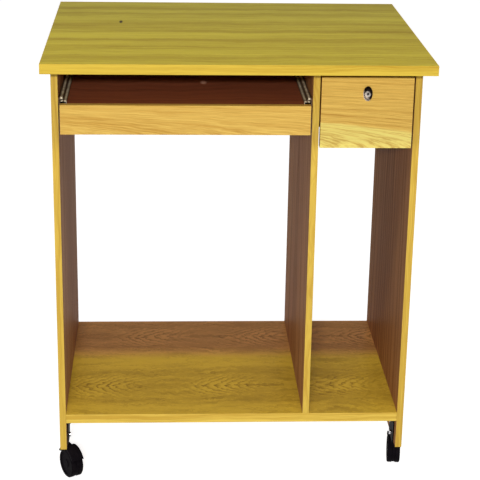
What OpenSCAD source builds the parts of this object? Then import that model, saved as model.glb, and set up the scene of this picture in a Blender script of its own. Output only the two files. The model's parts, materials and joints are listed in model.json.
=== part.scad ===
// Small computer desk with a pull-out keyboard tray, a lockable drawer and swivel casters
// Millimetres. Z is up, the front faces -Y, and the floor is at Z = 0

/* [Desk top] */
// Width of the desk top
desk_w = 610; // [580:1:760]
// Depth of the desk top
desk_d = 504; // [480:1:600]
// Height from the floor to the top surface
desk_h = 750; // [700:1:820]
// Thickness of the desk top
top_t = 16; // [12:0.5:25]
// Overhang of the top past each side panel
side_overhang = 11; // [4:0.5:30]
// Overhang of the top past the front of the carcass
front_overhang = 73; // [20:1:90]
// Overhang of the top past the back of the carcass
back_overhang = 24; // [5:1:40]
// Thickness of the edge bands
band_t = 0.8; // [0.4:0.1:2]

/* [Carcass] */
// Thickness of the side panels and the divider
side_t = 11; // [10:0.5:18]
// Thickness of the bottom shelf
shelf_t = 16; // [12:0.5:25]
// Height of the shelf's underside above the bottom of the side panels
shelf_drop = 50; // [46:1:120]
// Inner width of the drawer bay
drawer_bay_w = 152; // [135:1:200]
// Height of the two back rails
back_rail_h = 100; // [60:1:150]
// Thickness of the back rails
back_rail_t = 16; // [12:0.5:20]
// Thickness of the rail above the drawer
top_rail_t = 16; // [14:0.5:20]
// Depth of the rail above the drawer, behind which the lock's cam turns up
top_rail_d = 18; // [16:0.5:26]

/* [Keyboard tray] */
// Distance from the underside of the top to the tray surface
tray_drop = 67; // [50:1:90]
// Thickness of the tray board
tray_t = 15; // [12:0.5:18]
// Height of the tray fascia
fascia_h = 48; // [40:1:70]
// Thickness of the tray fascia
fascia_t = 12; // [10:0.5:16]
// How far the tray pulls out
tray_travel = 230; // [150:1:260]

/* [Drawer] */
// Height of the drawer front
drawer_front_h = 116; // [108:1:160]
// Thickness of the drawer front
drawer_front_t = 12; // [10:0.5:16]
// Gap between the rail and the top of the drawer front
drawer_top_gap = 4; // [2:0.5:8]
// Gap at each side of the tray fascia and of the drawer front
front_gap = 2.2; // [1:0.1:3]
// Height of the drawer box
box_h = 92; // [70:1:94]
// Height of the drawer box's foot above the bottom of the front
box_rise = 10; // [6:1:12]
// Height of the drawer slides' middle above the box's foot
box_slide_rise = 38; // [28:1:60]
// Height of the bottom's groove above the box's foot
groove_rise = 8; // [6:0.5:12]
// Depth of the bottom's groove
groove_d = 4; // [3:0.5:6]
// Thickness of the drawer sides and back
box_t = 10; // [9:0.5:14]
// Thickness of the drawer bottom
box_bottom_t = 3; // [2.5:0.5:6]
// How far the drawer pulls out
drawer_travel = 230; // [150:1:260]

/* [Slides] */
// Space left behind the slides, the tray and the drawer, up to the back rails
slide_back_gap = 27; // [12:1:60]
// Height of each slide
slide_h = 35; // [30:0.5:45]
// Thickness of each slide, from panel to drawer
slide_w = 12.7; // [12:0.1:14]
// Steel thickness of the slides
slide_steel = 1.2; // [1:0.1:1.5]
// Diameter of the balls
ball_d = 5; // [4:0.1:6]
// Number of balls in each row
ball_count = 7; // [4:1:9]

/* [Lock] */
// Width of the lock plate
lock_w = 15; // [14:0.5:24]
// Height of the lock plate
lock_h = 24; // [20:0.5:30]
// Distance from the top of the drawer front to the lock centre
lock_drop = 26; // [20:1:34]
// Diameter of the turning plug
plug_d = 7; // [6:0.1:8]
// Reach of the cam from the plug's axis
cam_reach = 36; // [32:0.5:38]

/* [Casters] */
// Height from the floor to the bottom of the side panels
caster_h = 60; // [59:1:75]
// Diameter of the wheels
wheel_d = 50; // [40:1:52]
// Width of each wheel
wheel_w = 8; // [6.5:0.5:14]
// Horizontal distance from the swivel axis to the axle
trail = 23; // [22:0.5:30]
// Distance of the swivel axes from the front and back of the carcass
caster_inset = 41; // [24:1:60]
// Diameter of the swivel stem
stem_d = 6; // [5:0.1:7]
// Diameter of the axle
axle_d = 5; // [4:0.1:6]
// Rest angle of the front left caster, anticlockwise from trailing backwards
swivel_fl = 210; // [0:1:359]
// Rest angle of the front right caster
swivel_fr = 354; // [0:1:359]
// Rest angle of the back left caster
swivel_bl = 0; // [0:1:359]
// Rest angle of the back right caster
swivel_br = 0; // [0:1:359]
// Length of the caster bracket along the panel
bracket_l = 44; // [24:1:60]
// Height of the bracket's upright flange
bracket_h = 42; // [36:1:46]
// Steel thickness of the bracket
bracket_t = 2; // [1.5:0.1:3]

/* [Screws and fits] */
// Core diameter of the screws in the boards
screw_d = 3; // [2.5:0.1:4]
// Length of the screws in the boards
screw_l = 8; // [5:0.5:8]
// Diameter of the carcass screws
bolt_d = 5; // [4:0.1:6]
// Length of the carcass screws
bolt_l = 42; // [30:1:50]
// Diameter of the wooden dowels
dowel_d = 6; // [5:0.1:8]
// How far a dowel reaches into the end of a board
dowel_end = 19; // [14:1:22]
// How far a dowel reaches into the face of a board
dowel_face = 8; // [5:0.5:9]
// Radial clearance of fixed pins and screws
fixed_fit = 0.02; // [0.01:0.01:0.05]
// Radial clearance of turning pins
turn_fit = 0.05; // [0.02:0.01:0.1]
// Clearance between a ball and its track
ball_fit = 0.1; // [0.05:0.01:0.15]
// Clearance of a board in its groove
groove_fit = 0.2; // [0.1:0.05:0.4]
// Small gap between turning faces
face_gap = 0.3; // [0.2:0.05:0.5]

/* [Hidden] */
$fn = 64;

// How far a cut runs past the face that it opens
past = 1;
strip_gap = 0.1;
slide_front_gap = 2;
board_setback = 2;
body_w = desk_w - 2 * side_overhang;
z_under = desk_h - top_t;
z_panel = caster_h;
z_shelf = caster_h + shelf_drop;
z_shelf_top = z_shelf + shelf_t;
y_front = -desk_d / 2 + front_overhang;
y_board = y_front + band_t;
y_back = desk_d / 2 - back_overhang;
x_out = body_w / 2;
x_in = x_out - side_t;
x_div_r = x_in - drawer_bay_w;
x_div_l = x_div_r - side_t;
x_div = (x_div_l + x_div_r) / 2;

z_tray = z_under - tray_drop;
z_tray_mid = z_tray - tray_t / 2;
tray_x0 = -x_in + slide_w;
tray_x1 = x_div_l - slide_w;
tray_y0 = y_front + fascia_t;
slide_y0 = y_front + max(fascia_t, drawer_front_t) + slide_front_gap;
slide_y1 = y_back - back_rail_t - slide_back_gap;
slide_len = slide_y1 - slide_y0;
tray_y1 = slide_y1 - board_setback;
fascia_x0 = -x_in + front_gap;
fascia_x1 = x_div_l - front_gap;

z_rail = z_under - top_rail_t;
z_front_top = z_rail - drawer_top_gap;
z_front_bot = z_front_top - drawer_front_h;
z_box = z_front_bot + box_rise;
z_box_slide = z_box + box_slide_rise;
box_x0 = x_div_r + slide_w;
box_x1 = x_in - slide_w;
box_y0 = y_front + drawer_front_t;
box_y1 = tray_y1;
front_x0 = x_div_r + front_gap;
front_x1 = x_in - front_gap;
groove_z = z_box + groove_rise;
back_drop = 6;

race_r = ball_d / 2 + ball_fit;
race_out = race_r + slide_steel;
ball_x = race_out;
ball_z = slide_h / 2 - race_out;
lip_gap = 0.6;
cage_t = 0.6;
cage_x = slide_steel + face_gap;
inner_x = cage_x + cage_t + face_gap;
leg_fit = 0.3;
leg_z = ball_z - race_r + leg_fit;
stop_h = 7;
stop_t = 1.5;
stop_out = 1.2;
cage_lip = 0.8;
cage_hole_h = 1.1 * ball_d;
// Board left beyond the point of a screw
screw_skin = 2;
slide_screw_skin = 2.5;
countersink_d = screw_d + 3;
pan_screw_d = screw_d + 3.5;
pan_screw_t = 1.8;
tray_cage_len = slide_len - tray_travel - 4 * stop_t;
drawer_cage_len = slide_len - drawer_travel - 4 * stop_t;

lock_x = (front_x0 + front_x1) / 2;
lock_z = z_front_top - lock_drop;
lock_plate_t = 1.5;
lock_boss_t = 1.5;
lock_boss_w = plug_d + 2.5;
lock_boss_h = lock_h - 9;
oval_sides = 48;
barrel_d = 13;
cam_t = 2;
cam_gap = 1;
cam_y0 = y_front + top_rail_d + cam_gap;
barrel_y1 = cam_y0 - face_gap;
cam_w = 12;
pin_d = 5;
plug_out = 0.4;
rivet_t = 1.2;
rivet_d = pin_d + 2.4;
keyway_w = 1.2;
keyway_h = 4.8;
keyway_deep = 9;

wheel_gap = 0.5;
tread_edge = 1.5;
dish_deep = 1.5;
rim_w = 5;
hub_h = 1;
hub_r = 7;
wheel_skin = 2;
axle_short = 2.5;
core_t = 5;
stem_x = x_out - side_t / 2;
stem_y0 = y_front + caster_inset;
stem_y1 = y_back - caster_inset;
z_axle = wheel_d / 2;
z_plate = z_panel - bracket_t;
z_boss = z_plate - face_gap;
hood_gap = 1;
fender_t = 3.8;
hood_r0 = wheel_d / 2 + hood_gap;
hood_r1 = hood_r0 + fender_t;
core_rim = 1;
core_lip = 0.5;
core_edge = 4;
hood_w = core_t + 2 * wheel_gap + 2 * wheel_w;
boss_h = 13;
boss_d = 14;
neck_w = 12;
neck_drop = 0.5;
stem_in = 10;
pocket_wall = 1;
stem_head_d = min(9, side_t - 2 * pocket_wall);
stem_head_t = 2;
bracket_z1 = z_panel + bracket_h - bracket_t;
bracket_screw_z = [z_panel + bracket_h * 0.2, z_panel + bracket_h * 0.77];
bracket_screw_d = screw_d + 0.5;
pan_foot = 0.5;
pan_d = 8;
pan_t = 3;
cross_l = 4.6;
cross_w = 1;

body_d = y_back - y_front;
slide_screw_y = [slide_len * 0.07, slide_len / 2, slide_len * 0.93];
slot_y = [slide_len * 0.17, slide_len * 0.3, slide_len * 0.7, slide_len * 0.83];
slot_l = slide_len * 0.04;
bolt_head_d = bolt_d + 3.5;
bolt_head_t = 2.5;
hex_d = 3.4;
hex_deep = 2;
shelf_screw_y = [y_front + body_d * 0.15, y_back - body_d * 0.15];
rail_screw_z = [z_under - back_rail_h * 0.8, z_under - back_rail_h * 0.2];
rail_y = y_back - back_rail_t / 2;
dowel_y = [y_front + body_d * 0.22, (y_front + y_back) / 2, y_back - body_d * 0.15];
top_rail_dowel_y = (y_board + y_front + top_rail_d) / 2;

laminate = [0.80, 0.62, 0.33];
golden = [0.87, 0.72, 0.34];
brown = [0.42, 0.24, 0.13];
pale_wood = [0.85, 0.72, 0.50];
zinc = [0.75, 0.76, 0.78];
black = [0.08, 0.08, 0.09];
chrome = [0.85, 0.86, 0.88];

// Plain board between two opposite corners
module board(x0, x1, y0, y1, z0, z1) {
  translate([x0, y0, z0]) cube([x1 - x0, y1 - y0, z1 - z0]);
}

// Round bars along X, Y and Z
module bar_x(x0, x1, y, z, d) {
  translate([x0, y, z]) rotate([0, 90, 0]) cylinder(h = x1 - x0, d = d);
}

module bar_y(x, y0, y1, z, d) {
  translate([x, y0, z]) rotate([-90, 0, 0]) cylinder(h = y1 - y0, d = d);
}

module bar_z(x, y, z0, z1, d) {
  translate([x, y, z0]) cylinder(h = z1 - z0, d = d);
}

// Carcass screw with a countersunk head, head face at the origin, shank along +Z
module carcass_screw(fit = 0) {
  cylinder(h = bolt_head_t + fit, d1 = bolt_head_d + 2 * fit, d2 = bolt_d + 2 * fit);
  cylinder(h = bolt_l + fit, d = bolt_d + 2 * fit);
}

module carcass_screw_part() {
  difference() {
    carcass_screw();
    translate([0, 0, -past]) cylinder(h = hex_deep + past, d = hex_d, $fn = 6);
  }
}

// Places its children at every carcass screw
module at_carcass_screws() {
  for (y = shelf_screw_y) {
    translate([-x_out, y, z_shelf + shelf_t / 2]) rotate([0, 90, 0]) children();
    translate([x_out, y, z_shelf + shelf_t / 2]) rotate([0, -90, 0]) children();
    translate([x_div, y + body_d * 0.05, z_shelf]) children();
  }
  for (z = rail_screw_z) {
    translate([-x_out, rail_y, z]) rotate([0, 90, 0]) children();
    translate([x_out, rail_y, z]) rotate([0, -90, 0]) children();
  }
}

module carcass_holes() {
  at_carcass_screws() carcass_screw(fixed_fit);
}

// Wooden dowels, with their clearance when used as holes
module dowels(fit = 0) {
  d = dowel_d + 2 * fit;
  e = fit;
  for (y = dowel_y) {
    for (x = [-stem_x, x_div, stem_x]) {
      bar_z(x, y, z_under - dowel_end - e, z_under + dowel_face + e, d);
    }
  }
  for (z = rail_screw_z) {
    bar_x(x_div_l - dowel_end - e, x_div_r + dowel_end + e, rail_y, z, d);
  }
  for (x = [[x_div_r - dowel_face, x_div_r + dowel_end], [x_in - dowel_end, x_in + dowel_face]]) {
    bar_x(x[0] - e, x[1] + e, top_rail_dowel_y, z_rail + top_rail_t / 2, d);
  }
}

module top_panel() {
  color(laminate) difference() {
    board(-desk_w / 2 + band_t, desk_w / 2 - band_t, -desk_d / 2 + band_t, desk_d / 2 - band_t,
      z_under, desk_h);
    dowels(fixed_fit);
  }
}

// Four strips glued round the top
module top_edge_band() {
  w = desk_w / 2;
  d = desk_d / 2;
  color(golden) {
    board(-w, w, -d, -d + band_t, z_under, desk_h);
    board(-w, w, d - band_t, d, z_under, desk_h);
    board(-w, -w + band_t, -d + band_t + strip_gap, d - band_t - strip_gap, z_under, desk_h);
    board(w - band_t, w, -d + band_t + strip_gap, d - band_t - strip_gap, z_under, desk_h);
  }
}

// Pocket for a stem's riveted head in the bottom of a side panel
module stem_pockets() {
  for (x = [-stem_x, stem_x]) {
    for (y = [stem_y0, stem_y1]) {
      bar_z(x, y, z_panel - past, z_panel + stem_head_t + face_gap, stem_head_d + 2 * face_gap);
    }
  }
}

module side_panel(s) {
  difference() {
    if (s < 0) {
      board(-x_out, -x_in, y_board, y_back, z_panel, z_under);
    } else {
      board(x_in, x_out, y_board, y_back, z_panel, z_under);
    }
    carcass_holes();
    dowels(fixed_fit);
    stem_pockets();
    slide_screw_set(fixed_fit);
    bracket_screw_set(fixed_fit);
  }
}

module side_panel_left() {
  color(laminate) side_panel(-1);
}

module side_panel_right() {
  color(laminate) side_panel(1);
}

module divider_panel() {
  color(laminate) difference() {
    board(x_div_l, x_div_r, y_board, y_back, z_shelf_top, z_under);
    carcass_holes();
    dowels(fixed_fit);
    slide_screw_set(fixed_fit);
  }
}

module bottom_shelf() {
  color(laminate) difference() {
    board(-x_in, x_in, y_board, y_back, z_shelf, z_shelf_top);
    carcass_holes();
  }
}

// Strips glued on the front edges of the panels, the divider, the shelf and the rail
module front_edge_bands() {
  color(golden) {
    board(-x_out, -x_in, y_front, y_board, z_panel, z_under);
    board(x_in, x_out, y_front, y_board, z_panel, z_under);
    board(x_div_l, x_div_r, y_front, y_board, z_shelf_top + strip_gap, z_under);
    board(-x_in + strip_gap, x_in - strip_gap, y_front, y_board, z_shelf, z_shelf_top);
    board(x_div_r + strip_gap, x_in - strip_gap, y_front, y_board, z_rail, z_under);
  }
}

module back_rail_left() {
  color(laminate) difference() {
    board(-x_in, x_div_l, y_back - back_rail_t, y_back, z_under - back_rail_h, z_under);
    carcass_holes();
    dowels(fixed_fit);
  }
}

module back_rail_right() {
  color(laminate) difference() {
    board(x_div_r, x_in, y_back - back_rail_t, y_back, z_under - back_rail_h, z_under);
    carcass_holes();
    dowels(fixed_fit);
  }
}

// Rail above the drawer; the lock's cam turns up behind it
module drawer_top_rail() {
  color(laminate) difference() {
    board(x_div_r, x_in, y_board, y_front + top_rail_d, z_rail, z_under);
    dowels(fixed_fit);
  }
}

module carcass_screws() {
  color(zinc) at_carcass_screws() carcass_screw_part();
}

module carcass_dowels() {
  color(pale_wood) dowels();
}

// Slides are drawn with the panel face at X = 0, the drawer at X = slide_w,
// their length along +Y from 0 and their middle height at Z = 0
// A half ring on the far side of each ball row makes the outer race
module slide_outer() {
  t = slide_steel;
  difference() {
    union() {
      board(0, t, 0, slide_len, -ball_z, ball_z);
      for (s = [-1, 1]) {
        outer_race(s);
      }
      for (y = [0, slide_len - stop_t]) {
        board(0, t + stop_out, y, y + stop_t, -stop_h, stop_h);
      }
    }
    for (y = slide_screw_y) {
      translate([0, y, 0]) outer_screw(fixed_fit);
    }
    for (y = slot_y) {
      long_slot(-past, t + past, y);
    }
  }
}

// Outer race above (s = 1) or below (s = -1), closed at both ends
module outer_race(s) {
  z = s * ball_z;
  difference() {
    bar_y(ball_x, 0, slide_len, z, 2 * race_out);
    bar_y(ball_x, stop_t, slide_len - stop_t, z, 2 * race_r);
    board(-past, slide_w, -past, slide_len + past,
      min(z, z - s * slide_h), max(z, z - s * slide_h));
    board(ball_x, slide_w, -past, slide_len + past,
      min(z - s * past, z + s * lip_gap), max(z - s * past, z + s * lip_gap));
  }
}

// Slot with round ends through a web, w high and lying along Y
module long_slot(x0, x1, y) {
  w = screw_d + 1;
  bar_x(x0, x1, y - slot_l / 2, 0, w);
  bar_x(x0, x1, y + slot_l / 2, 0, w);
  board(x0, x1, y - slot_l / 2, y + slot_l / 2, -w / 2, w / 2);
}

module slide_inner() {
  t = slide_steel;
  difference() {
    union() {
      board(slide_w - t, slide_w, 0, slide_len, -leg_z, leg_z);
      for (s = [-1, 1]) {
        inner_race(s);
        board(ball_x + race_r / 2, slide_w, 0, slide_len,
          min(s * leg_z, s * (leg_z - t)), max(s * leg_z, s * (leg_z - t)));
      }
    }
    for (y = slide_screw_y) {
      translate([0, y, 0]) inner_screw(fixed_fit);
    }
    for (y = slot_y) {
      long_slot(slide_w - t - past, slide_w + past, y);
    }
  }
}

// Inner race, the near half of the ring, short of the cage
module inner_race(s) {
  z = s * ball_z;
  z0 = z - s * lip_gap;
  difference() {
    bar_y(ball_x, 0, slide_len, z, 2 * race_out);
    bar_y(ball_x, -past, slide_len + past, z, 2 * race_r);
    board(-past, slide_w, -past, slide_len + past,
      min(z0, z0 + s * slide_h), max(z0, z0 + s * slide_h));
    board(-past, inner_x, -past, slide_len + past, -slide_h, slide_h);
  }
}

// Places its children at every ball of one slide
module at_balls(len) {
  y0 = (slide_len - len) / 2 + ball_d;
  for (i = [0 : ball_count - 1]) {
    for (s = [-1, 1]) {
      translate([ball_x, y0 + i * (len - 2 * ball_d) / (ball_count - 1), s * ball_z]) children();
    }
  }
}

module slide_cage(len) {
  y0 = (slide_len - len) / 2;
  difference() {
    union() {
      board(cage_x, cage_x + cage_t, y0, y0 + len, -ball_z - cage_t / 2, ball_z + cage_t / 2);
      for (s = [-1, 1]) {
        board(cage_x, ball_x + ball_d / 2 + cage_lip, y0, y0 + len,
          s * ball_z - cage_t / 2, s * ball_z + cage_t / 2);
      }
    }
    at_balls(len) {
      bar_z(0, 0, -cage_hole_h / 2, cage_hole_h / 2, ball_d + 2 * turn_fit);
    }
  }
}

module slide_balls(len) {
  at_balls(len) sphere(d = ball_d);
}

// Countersunk screw through an outer slide into the panel, along -X
module outer_screw(fit = 0) {
  t = slide_steel;
  translate([t, 0, 0]) rotate([0, -90, 0]) {
    cylinder(h = t, d1 = countersink_d + 2 * fit, d2 = screw_d + 2 * fit);
    cylinder(h = t + min(screw_l, side_t - slide_screw_skin) + fit, d = screw_d + 2 * fit);
  }
}

// Pan head screw through an inner slide into the tray or the drawer side, along +X
module inner_screw(fit = 0) {
  t = slide_steel;
  translate([slide_w - t, 0, 0]) rotate([0, 90, 0]) {
    cylinder(h = t + min(screw_l, box_t - screw_skin) + fit, d = screw_d + 2 * fit);
    if (fit == 0) {
      translate([0, 0, -pan_screw_t]) cylinder(h = pan_screw_t, d = pan_screw_d);
    }
  }
}

// Moves a slide to one of its four places
module at_tray_left() {
  translate([-x_in, slide_y0, z_tray_mid]) children();
}

module at_tray_right() {
  translate([x_div_l, slide_y0, z_tray_mid]) mirror([1, 0, 0]) children();
}

module at_drawer_left() {
  translate([x_div_r, slide_y0, z_box_slide]) children();
}

module at_drawer_right() {
  translate([x_in, slide_y0, z_box_slide]) mirror([1, 0, 0]) children();
}

module outer_screws_of_one(fit) {
  for (y = slide_screw_y) {
    translate([0, y, 0]) outer_screw(fit);
  }
}

module inner_screws_of_one(fit) {
  for (y = slide_screw_y) {
    translate([0, y, 0]) inner_screw(fit);
  }
}

module slide_screw_set(fit = 0) {
  at_tray_left() outer_screws_of_one(fit);
  at_tray_right() outer_screws_of_one(fit);
  at_drawer_left() outer_screws_of_one(fit);
  at_drawer_right() outer_screws_of_one(fit);
}

module tray_screw_set(fit = 0) {
  at_tray_left() inner_screws_of_one(fit);
  at_tray_right() inner_screws_of_one(fit);
}

module drawer_screw_set(fit = 0) {
  at_drawer_left() inner_screws_of_one(fit);
  at_drawer_right() inner_screws_of_one(fit);
}

module tray_outer_left() {
  color(zinc) at_tray_left() slide_outer();
}

module tray_outer_right() {
  color(zinc) at_tray_right() slide_outer();
}

module drawer_outer_left() {
  color(zinc) at_drawer_left() slide_outer();
}

module drawer_outer_right() {
  color(zinc) at_drawer_right() slide_outer();
}

module tray_inner_left() {
  color(zinc) at_tray_left() slide_inner();
}

module tray_inner_right() {
  color(zinc) at_tray_right() slide_inner();
}

module drawer_inner_left() {
  color(zinc) at_drawer_left() slide_inner();
}

module drawer_inner_right() {
  color(zinc) at_drawer_right() slide_inner();
}

module tray_cage_left() {
  color(zinc) at_tray_left() slide_cage(tray_cage_len);
}

module tray_cage_right() {
  color(zinc) at_tray_right() slide_cage(tray_cage_len);
}

module drawer_cage_left() {
  color(zinc) at_drawer_left() slide_cage(drawer_cage_len);
}

module drawer_cage_right() {
  color(zinc) at_drawer_right() slide_cage(drawer_cage_len);
}

module tray_balls_left() {
  color(chrome) at_tray_left() slide_balls(tray_cage_len);
}

module tray_balls_right() {
  color(chrome) at_tray_right() slide_balls(tray_cage_len);
}

module drawer_balls_left() {
  color(chrome) at_drawer_left() slide_balls(drawer_cage_len);
}

module drawer_balls_right() {
  color(chrome) at_drawer_right() slide_balls(drawer_cage_len);
}

module slide_screws() {
  color(zinc) slide_screw_set();
}

module tray_screws() {
  color(zinc) tray_screw_set();
}

module drawer_screws() {
  color(zinc) drawer_screw_set();
}

module tray_board() {
  color(brown) difference() {
    board(tray_x0, tray_x1, tray_y0, tray_y1, z_tray - tray_t, z_tray);
    tray_screw_set(fixed_fit);
  }
}

module tray_fascia() {
  color(golden) board(fascia_x0, fascia_x1, y_front, tray_y0, z_tray - fascia_h, z_tray);
}

module drawer_front() {
  color(golden) difference() {
    board(front_x0, front_x1, y_front, box_y0, z_front_bot, z_front_top);
    bar_y(lock_x, y_front - past, box_y0 + past, lock_z, barrel_d + 2 * fixed_fit);
    board(box_x0 + box_t - groove_d, box_x1 - box_t + groove_d, box_y0 - groove_d, box_y0 + past,
      groove_z, groove_z + box_bottom_t + groove_fit);
  }
}

module drawer_side_left() {
  color(pale_wood) difference() {
    board(box_x0, box_x0 + box_t, box_y0, box_y1, z_box, z_box + box_h);
    board(box_x0 + box_t - groove_d, box_x0 + box_t + past, box_y0 - past, box_y1 + past,
      groove_z, groove_z + box_bottom_t + groove_fit);
    drawer_screw_set(fixed_fit);
  }
}

module drawer_side_right() {
  color(pale_wood) difference() {
    board(box_x1 - box_t, box_x1, box_y0, box_y1, z_box, z_box + box_h);
    board(box_x1 - box_t - past, box_x1 - box_t + groove_d, box_y0 - past, box_y1 + past,
      groove_z, groove_z + box_bottom_t + groove_fit);
    drawer_screw_set(fixed_fit);
  }
}

module drawer_back() {
  color(pale_wood) board(box_x0 + box_t, box_x1 - box_t, box_y1 - box_t, box_y1,
    groove_z + box_bottom_t, z_box + box_h - back_drop);
}

module drawer_bottom() {
  g = groove_d - groove_fit;
  color(pale_wood) board(box_x0 + box_t - g, box_x1 - box_t + g, box_y0 - g, box_y1,
    groove_z, groove_z + box_bottom_t);
}

// Upright oval plate, w wide and h high
module oval_plate(w, h, y0, y1) {
  outline = [for (i = [0 : oval_sides - 1])
    [w / 2 * cos(360 * i / oval_sides), h / 2 * sin(360 * i / oval_sides)]];
  translate([0, y1, 0]) rotate([90, 0, 0]) linear_extrude(y1 - y0) polygon(outline);
}

module lock_body() {
  color(black) translate([lock_x, 0, lock_z]) difference() {
    union() {
      oval_plate(lock_w, lock_h, y_front - lock_plate_t, y_front);
      oval_plate(lock_boss_w, lock_boss_h, y_front - lock_plate_t - lock_boss_t, y_front);
      bar_y(0, y_front - lock_plate_t / 2, barrel_y1, 0, barrel_d);
    }
    bar_y(0, y_front - lock_plate_t - lock_boss_t - past, barrel_y1 + past, 0, plug_d + 2 * turn_fit);
  }
}

// Round plug with a keyway in front and a riveted pin that holds the cam behind
module lock_plug() {
  y0 = y_front - lock_plate_t - lock_boss_t - plug_out;
  color(chrome) translate([lock_x, 0, lock_z]) difference() {
    union() {
      bar_y(0, y0, barrel_y1 + face_gap, 0, plug_d);
      bar_y(0, barrel_y1, cam_y0 + cam_t + rivet_t, 0, pin_d);
      bar_y(0, cam_y0 + cam_t, cam_y0 + cam_t + rivet_t, 0, rivet_d);
    }
    board(-keyway_w / 2, keyway_w / 2, y0 - past, y0 + keyway_deep, -keyway_h / 2, keyway_h / 2);
  }
}

module lock_cam() {
  r = cam_w / 2;
  color(zinc) translate([lock_x, 0, lock_z]) difference() {
    union() {
      bar_y(0, cam_y0, cam_y0 + cam_t, 0, cam_w);
      bar_y(-cam_reach + r, cam_y0, cam_y0 + cam_t, 0, cam_w);
      board(-cam_reach + r, 0, cam_y0, cam_y0 + cam_t, -r, r);
    }
    bar_y(0, cam_y0 - past, cam_y0 + cam_t + past, 0, pin_d + 2 * fixed_fit);
  }
}

// Places its children at the four swivel axes, turned so that +X points inboard
module at_stems() {
  for (y = [stem_y0, stem_y1]) {
    translate([-stem_x, y, 0]) children();
    translate([stem_x, y, 0]) mirror([1, 0, 0]) children();
  }
}

// Angle bracket under the edge of the panel and up its inner face
module caster_bracket() {
  h = side_t / 2;
  l = bracket_l / 2;
  difference() {
    union() {
      board(-h, h + bracket_t, -l, l, z_plate, z_panel);
      board(h, h + bracket_t, -l, l, z_plate, bracket_z1);
    }
    bar_z(0, 0, z_plate - past, z_panel + past, stem_d + 2 * fixed_fit);
    for (z = bracket_screw_z) {
      bar_x(h - past, h + bracket_t + past, 0, z, bracket_screw_d + 2 * fixed_fit);
    }
  }
}

module caster_brackets() {
  color(black) at_stems() caster_bracket();
}

module bracket_screw_set(fit = 0) {
  h = side_t / 2;
  at_stems() {
    for (z = bracket_screw_z) {
      bar_x(h - min(screw_l, side_t - screw_skin) - fit, h + bracket_t + pan_foot, 0, z,
        bracket_screw_d + 2 * fit);
      if (fit == 0) {
        translate([h + bracket_t, 0, z]) pan_head();
      }
    }
  }
}

// Pan head with a cross recess, seated at X = 0 and facing +X
module pan_head() {
  x1 = pan_t + past;
  difference() {
    bar_x(0, pan_t, 0, 0, pan_d);
    board(pan_t / 2, x1, -cross_w / 2, cross_w / 2, -cross_l / 2, cross_l / 2);
    board(pan_t / 2, x1, -cross_l / 2, cross_l / 2, -cross_w / 2, cross_w / 2);
  }
}

module bracket_screws() {
  color(chrome) bracket_screw_set();
}

// Steel stem riveted in the bracket, with its head in the panel's pocket
module caster_stem() {
  bar_z(0, 0, z_boss - stem_in + face_gap, z_panel + 1, stem_d);
  bar_z(0, 0, z_panel, z_panel + stem_head_t, stem_head_d);
}

module caster_stems() {
  color(zinc) at_stems() caster_stem();
}

// A caster is drawn with its swivel axis on Z and its axle at Y = trail
module hood() {
  difference() {
    union() {
      bar_z(0, 0, z_boss - boss_h, z_boss, boss_d);
      translate([0, trail, 0]) hood_core();
      translate([0, trail, 0]) fender();
      hood_neck();
    }
    bar_z(0, 0, z_boss - stem_in, z_boss + past, stem_d + 2 * turn_fit);
    bar_x(-hood_w, hood_w, trail, z_axle, axle_d + 2 * fixed_fit);
  }
}

module hood_core() {
  bar_x(-core_t / 2, core_t / 2, 0, z_axle, wheel_d - 2 * core_rim);
  difference() {
    bar_x(-core_t / 2, core_t / 2, 0, z_axle, 2 * (hood_r0 + core_lip));
    board(-core_t, core_t, -wheel_d, wheel_d, z_axle - wheel_d, z_axle + core_edge);
  }
}

// Web between the swivel boss and the fender, clear of both wheels
module hood_neck() {
  difference() {
    board(-neck_w / 2, neck_w / 2, 0, trail, z_boss - boss_h, z_axle + hood_r1 - neck_drop);
    bar_x(core_t / 2, hood_w, trail, z_axle, 2 * hood_r0);
    bar_x(-hood_w, -core_t / 2, trail, z_axle, 2 * hood_r0);
  }
}

module fender() {
  difference() {
    bar_x(-hood_w / 2, hood_w / 2, 0, z_axle, 2 * hood_r1);
    bar_x(-hood_w / 2 - past, hood_w / 2 + past, 0, z_axle, 2 * hood_r0);
    board(-hood_w, hood_w, -wheel_d, wheel_d, z_axle - wheel_d, z_axle + hood_r1 / 2);
  }
}

module axle() {
  e = core_t / 2 + wheel_gap + wheel_w - axle_short;
  bar_x(-e, e, trail, z_axle, axle_d);
}

// One wheel with a dished face, on the +X side of the core
module wheel() {
  r = wheel_d / 2;
  x0 = core_t / 2 + wheel_gap;
  translate([x0, trail, z_axle]) rotate([0, 90, 0]) difference() {
    union() {
      cylinder(h = wheel_w - tread_edge, d = wheel_d);
      translate([0, 0, wheel_w - tread_edge]) {
        cylinder(h = tread_edge, d1 = wheel_d, d2 = wheel_d - 2 * tread_edge);
      }
    }
    translate([0, 0, wheel_w - dish_deep]) difference() {
      cylinder(h = dish_deep + past, r = r - rim_w);
      cylinder(h = hub_h, r = hub_r);
    }
    translate([0, 0, -past]) cylinder(h = wheel_w - wheel_skin + past, d = axle_d + 2 * turn_fit);
  }
}

module at_fl() {
  translate([-stem_x, stem_y0, 0]) rotate([0, 0, swivel_fl]) children();
}

module at_fr() {
  translate([stem_x, stem_y0, 0]) rotate([0, 0, swivel_fr]) children();
}

module at_bl() {
  translate([-stem_x, stem_y1, 0]) rotate([0, 0, swivel_bl]) children();
}

module at_br() {
  translate([stem_x, stem_y1, 0]) rotate([0, 0, swivel_br]) children();
}

module hood_fl() {
  color(black) at_fl() hood();
}

module hood_fr() {
  color(black) at_fr() hood();
}

module hood_bl() {
  color(black) at_bl() hood();
}

module hood_br() {
  color(black) at_br() hood();
}

module axle_fl() {
  color(zinc) at_fl() axle();
}

module axle_fr() {
  color(zinc) at_fr() axle();
}

module axle_bl() {
  color(zinc) at_bl() axle();
}

module axle_br() {
  color(zinc) at_br() axle();
}

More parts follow.
